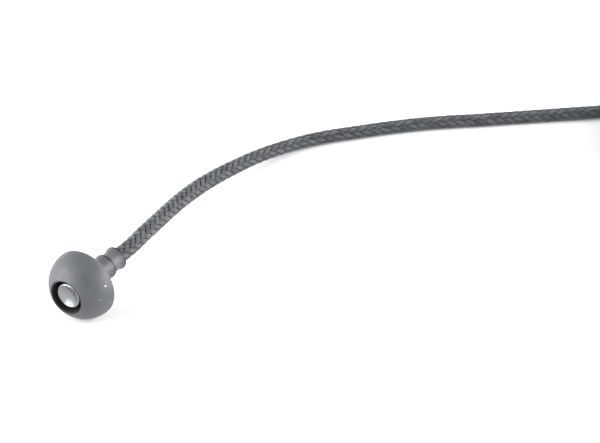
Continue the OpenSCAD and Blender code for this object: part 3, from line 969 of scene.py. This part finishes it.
# %% Ferrule
ferrule = turned("tip_ferrule_sleeve", rounded([
    (0, 2.7, 0.2), (0.6, 2.7, 0.1)] + waist(2.68, 2.4, 2.5, 0.62, 8.4) + [
    (8.6, 2.5, 0.2), (8.6, 1.62, 0.05), (3.28, 1.62), (3.28, 1.22), (0, 1.22, 0.1),
]), TIP, 120)
ferrule.data.materials.append(stoved_enamel)

# %% [markdown]
# The collar is one turned piece, with the core of its thread, a smooth pilot at the front and
# a flat seat that stops against the camera.

# %% Collar body and tapered core
SEAT = 16.0
THREAD_FRONT = 20.8
PILOT_FRONT = 22.4
collar = turned("thread_collar_body", rounded([
    (9.0, 3.15, 0.25), (9.0, 2.62, 0.05), (9.9, 2.62), (9.9, 2.15), (10.8, 2.15), (10.8, 1.45),
    (16.7, 1.45), (16.7, 1.0), (PILOT_FRONT, 1.0, 0.05), (PILOT_FRONT, 1.25, 0.2),
    (THREAD_FRONT, 1.25, 0.05), (THREAD_FRONT, 1.36, 0.05),
    (SEAT + 0.12, 1.56), (SEAT + 0.12, 1.8, 0.03),
    (SEAT, 1.8), (SEAT, 3.15, 0.3), (SEAT - 0.9, 3.15, 0.1), (SEAT - 1.1, 2.9, 0.1),
    (10.1, 2.9, 0.1), (9.9, 3.15, 0.1),
]), TIP, 120)
collar.data.materials.append(nickel)

# %% [markdown]
# ## The thread and the knurl
#
# The thread's ridge is the helix tree again, with four sides and fading ends, laid on the
# tapered core. The knurl is a grid of points wrapped round the collar, where every second
# point stands higher. That is how a pair of crossed wheels presses small pyramids into a
# turned band. The grid could be displaced by a picture, but then its points would not lie on
# the peaks. Its last two rows turn inward, and merging the seams closes it into a ring.

# %% Thread ridge
ridge = helix("thread_ridge", SEAT + 0.35, 4.3, 8.6, 1.59, 1.39, 0.15, TIP, nickel, 4, 0.0, 0.06)

# %% [markdown]
# A point's number gives its column and its row. The column turns it round the collar, and the
# row moves it along, or in to the inner radius at the first row and the last two.

# %% Knurl tree
knurl_tree, given = geometry_tree("knurl", {
    "Columns": "Int", "Rows": "Int", "Start": "Float", "Width": "Float", "Radius": "Float",
    "Height": "Float", "Inner radius": "Float", "Place": "Vector", "Material": "Material",
})
round_count = add(knurl_tree, MATH, {0: given["Columns"], 1: 1.0}, operation="ADD")
row_count = add(knurl_tree, MATH, {0: given["Rows"], 1: 3.0}, operation="ADD")
grid = add(knurl_tree, "GeometryNodeMeshGrid", {
    "Size X": 1.0, "Size Y": 1.0,
    "Vertices X": round_count, "Vertices Y": row_count,
})
index = add(knurl_tree, "GeometryNodeInputIndex").outputs[0]
column = add(knurl_tree, MATH, {0: index, 1: row_count}, operation="DIVIDE")
column = add(knurl_tree, MATH, {0: column}, operation="FLOOR").outputs[0]
row = add(knurl_tree, MATH, {
    0: index, 1: row_count,
}, operation="FLOORED_MODULO").outputs[0]
turn = add(knurl_tree, MATH, {0: column, 1: given["Columns"]}, operation="DIVIDE")
turn = add(knurl_tree, MATH, {0: turn, 1: 2 * math.pi}, operation="MULTIPLY")
both = add(knurl_tree, MATH, {0: column, 1: row}, operation="ADD")
high = add(knurl_tree, MATH, {0: both, 1: 2.0}, operation="FLOORED_MODULO")
high = add(knurl_tree, MATH, {
    0: high, 1: given["Height"], 2: given["Radius"],
}, operation="MULTIPLY_ADD")
first_row = add(knurl_tree, MATH, {0: row, 1: 0.5}, operation="LESS_THAN")
last_rows = add(knurl_tree, MATH, {0: row, 1: given["Rows"]}, operation="GREATER_THAN")
inside = add(knurl_tree, MATH, {
    0: first_row, 1: last_rows,
}, operation="ADD")
reach = add(knurl_tree, "ShaderNodeMix", {
    0: inside, 2: high, 3: given["Inner radius"],
}, data_type="FLOAT").outputs[0]
width_share = add(knurl_tree, "ShaderNodeMapRange", {
    "Value": row, "From Min": 1.0, "From Max": given["Rows"], "To Min": 0.0, "To Max": given["Width"],
})
back_again = add(knurl_tree, MATH, {0: given["Rows"], 1: 1.5}, operation="ADD")
closing = add(knurl_tree, MATH, {0: row, 1: back_again}, operation="GREATER_THAN")
station = add(knurl_tree, "ShaderNodeMix", {
    0: closing, 2: width_share, 3: 0.0,
}, data_type="FLOAT")
station = add(knurl_tree, MATH, {0: station, 1: given["Start"]}, operation="ADD")
cosine = add(knurl_tree, MATH, {0: turn}, operation="COSINE")
sine = add(knurl_tree, MATH, {0: turn}, operation="SINE")
side = add(knurl_tree, MATH, {0: cosine, 1: reach}, operation="MULTIPLY")
rise = add(knurl_tree, MATH, {0: sine, 1: reach}, operation="MULTIPLY")
wrapped = add(knurl_tree, "ShaderNodeCombineXYZ", {
    0: station, 1: side, 2: rise,
})
wrapped = add(knurl_tree, VECTOR_MATH, {
    0: wrapped, 1: given["Place"],
}, operation="ADD")
band = add(knurl_tree, "GeometryNodeSetPosition", {
    "Geometry": grid, "Position": wrapped,
})
closed = add(knurl_tree, "GeometryNodeMergeByDistance", {"Geometry": band, "Distance": 1e-6})
flat = add(knurl_tree, "GeometryNodeSetShadeSmooth", {0: closed, "Shade Smooth": False})
close_tree(knurl_tree, flat.outputs[0], given["Material"])

# %% [markdown]
# The finished band is nickel plated like the collar, and its faces are turned outward.

# %% Knurled band
def face_outward(piece):
    """Turns every face of a closed piece outward."""
    work = bmesh.new()
    work.from_mesh(piece.data)
    bmesh.ops.recalc_face_normals(work, faces=work.faces)
    work.to_mesh(piece.data)
    work.free()


knurl = grow("knurled_band", bpy.data.meshes.new("band_base"), knurl_tree, {
    "Columns": 72, "Rows": 17, "Start": 10.1 * MM, "Width": 4.8 * MM, "Radius": 3.12 * MM,
    "Height": 0.25 * MM, "Inner radius": 2.8 * MM, "Place": tuple(v * MM for v in TIP),
    "Material": nickel,
})
face_outward(knurl)

# %% [markdown]
# ## The small parts inside
#
# The rod, its clip, the bush, the barrel, the pin and the wires keep the engineer's shapes,
# which are right as they are. They only get their metals.

# %% Metals for the small parts
KEPT = {
    "plunger_rod": steel, "retaining_clip": blued_steel, "drive_wire": steel, "guide_bush": brass,
    "gland_ferrule": brass, "conduit_end": steel, "tip_conduit": steel, "tip_barrel": nickel,
    "collar_ring": brass, "release_pin": steel, "pin_sleeve": brass, "pin_wire": steel,
}
for label, finish in KEPT.items():
    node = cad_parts[label]
    node.data.materials.clear()
    node.data.materials.append(finish)
print(len(KEPT), "of the engineer's parts dressed")

# %% [markdown]
# ## A dark core under the yarns
#
# The wrap under the braid is rubbered cotton. It is only seen as the dark in the gaps.

# %% Rubbered wrap
rubbered_wrap, tree, shader = material("rubbered_cotton_wrap", Roughness=0.85)
place = add(tree, "ShaderNodeTexCoord").outputs["Object"]
fluff = add(tree, "ShaderNodeTexNoise", {"Vector": place, "Scale": 1 / (0.5 * MM), "Detail": 3})
shade = add(tree, "ShaderNodeValToRGB", {0: fluff})
shade.color_ramp.elements[0].color = straight("0c0d0f")
shade.color_ramp.elements[1].color = straight("25272b")
tree.links.new(shade.outputs[0], shader.inputs["Base Color"])
core.data.materials.append(rubbered_wrap)

# %% [markdown]
# ## The table and the light
#
# The object lies on a seamless sheet of white paper, which is lit until it shows pure white and
# holds only a trace of shadow.

# %% Paper
bpy.ops.mesh.primitive_grid_add(x_subdivisions=8, y_subdivisions=8, size=6)
paper = bpy.context.object
paper.name = "paper_table"
white_paper, tree, shader = material("matt_white_paper", Roughness=0.9)
shader.inputs["Specular IOR Level"].default_value = 0.2
place = add(tree, "ShaderNodeTexCoord").outputs["Object"]
pulp = add(tree, "ShaderNodeTexNoise", {"Vector": place, "Scale": 1 / (3 * MM), "Detail": 4})
shade = add(tree, "ShaderNodeMix", {
    0: pulp, 6: straight("e4e4e3"), 7: straight("eaeae9"),
}, data_type="RGBA")
tree.links.new(shade.outputs[2], shader.inputs["Base Color"])
paper.data.materials.append(white_paper)
paper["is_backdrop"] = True

# %% [markdown]
# The walls of the room are pale all round and darker behind the camera and overhead, which
# leaves the face of the ball a middle grey.

# %% Sky
CEILING_SHARE = 0.3
WALL_GLOW = 2.25
DARK_GLOW = 0.65
DARK_SIDE = (-0.847, -0.531, 0.0)
world = bpy.data.worlds.new("studio_walls")
world.use_nodes = True
tree = world.node_tree
tree.nodes.clear()
look = add(tree, "ShaderNodeTexCoord").outputs["Generated"]
height = add(tree, "ShaderNodeSeparateXYZ", {0: look}).outputs[2]
wall = add(tree, "ShaderNodeMapRange", {
    "Value": height, "From Min": 0.0, "From Max": 0.9, "To Min": 1.0, "To Max": CEILING_SHARE,
})
facing = add(tree, VECTOR_MATH, {0: look, 1: DARK_SIDE}, operation="DOT_PRODUCT")
behind = add(tree, "ShaderNodeMapRange", {
    "Value": facing.outputs["Value"], "From Min": -0.6, "From Max": 0.9,
    "To Min": WALL_GLOW, "To Max": DARK_GLOW,
})
glow = add(tree, MATH, {0: wall, 1: behind}, operation="MULTIPLY")
sky = add(tree, "ShaderNodeBackground", {"Color": straight("ffffff"), "Strength": glow})
add(tree, "ShaderNodeOutputWorld", {"Surface": sky})
bpy.context.scene.world = world

# %% [markdown]
# A broad panel on the left and a weaker one at the right draw pale bands on the ball's flanks.
# A low strip close to the table throws the gleam into the button's dish.

# %% Panels
def panel(name, place, size, watts):
    """A softbox of this width and height that faces the grip."""
    light = bpy.data.lights.new(name, "AREA")
    light.shape = "RECTANGLE"
    light.size, light.size_y = size
    light.energy = watts
    made = bpy.data.objects.new(name, light)
    made.location = place
    made.rotation_euler = (Vector((0.02, 0, 0.01)) - Vector(place)).to_track_quat("-Z", "Y").to_euler()
    bpy.context.collection.objects.link(made)


panel("left_panel", (-0.75, 0.75, 0.5), (1.3, 1.0), 33)
panel("right_panel", (0.62, -0.85, 0.35), (1.0, 0.8), 26)
panel("low_strip", (-0.75, 0.47, 0.04), (0.5, 0.04), 1.2)
bpy.context.scene.view_settings.view_transform = "Standard"

# %% [markdown]
# ## Say what carries what
#
# Each piece rides on one of the engineer's bodies, so the button moves in and the collar
# turns. Each also says which of the engineer's solids it stands for and which finish slot it
# belongs to, and those solids are hidden. The spring can't follow a body as a whole; here it
# only gets its own copy of its mesh.

# %% Bodies, slots and stand-ins
PIECES = [
    (shell, "grip", "grey_enamel", ["grip_shell"]),
    (cup, "grip", "black_plastic", ["recess_liner"]),
    (gland, "grip", "grey_enamel", ["cord_gland"]),
    (button, "plunger", "polished_metal", ["button"]),
    (spring, "grip", "steel", ["return_spring"]),
    (ferrule, "grip", "grey_enamel", ["tip_ferrule"]),
    (collar, "collar", "nickel", ["thread_collar"]),
    (knurl, "collar", "nickel", []),
    (ridge, "collar", "nickel", []),
    (core, "grip", "braid", ["cord_run", "cord_coil", "cord_tail"]),
    *[(strands, "grip", "braid", []) for strands in braid],
]
for piece, body, slot, stands_for in PIECES:
    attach(piece, body)
    if stands_for:
        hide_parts(*stands_for)
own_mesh(spring)

# %% [markdown]
# ## The finished box
#
# The finished looks should fill the same box as the engineer's solids, so the box of the
# finished looks is printed in millimetres.

# %% Sizes and finish
low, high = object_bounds()
print("visual box in mm:", [round(v / MM, 1) for v in (*low, *high)])
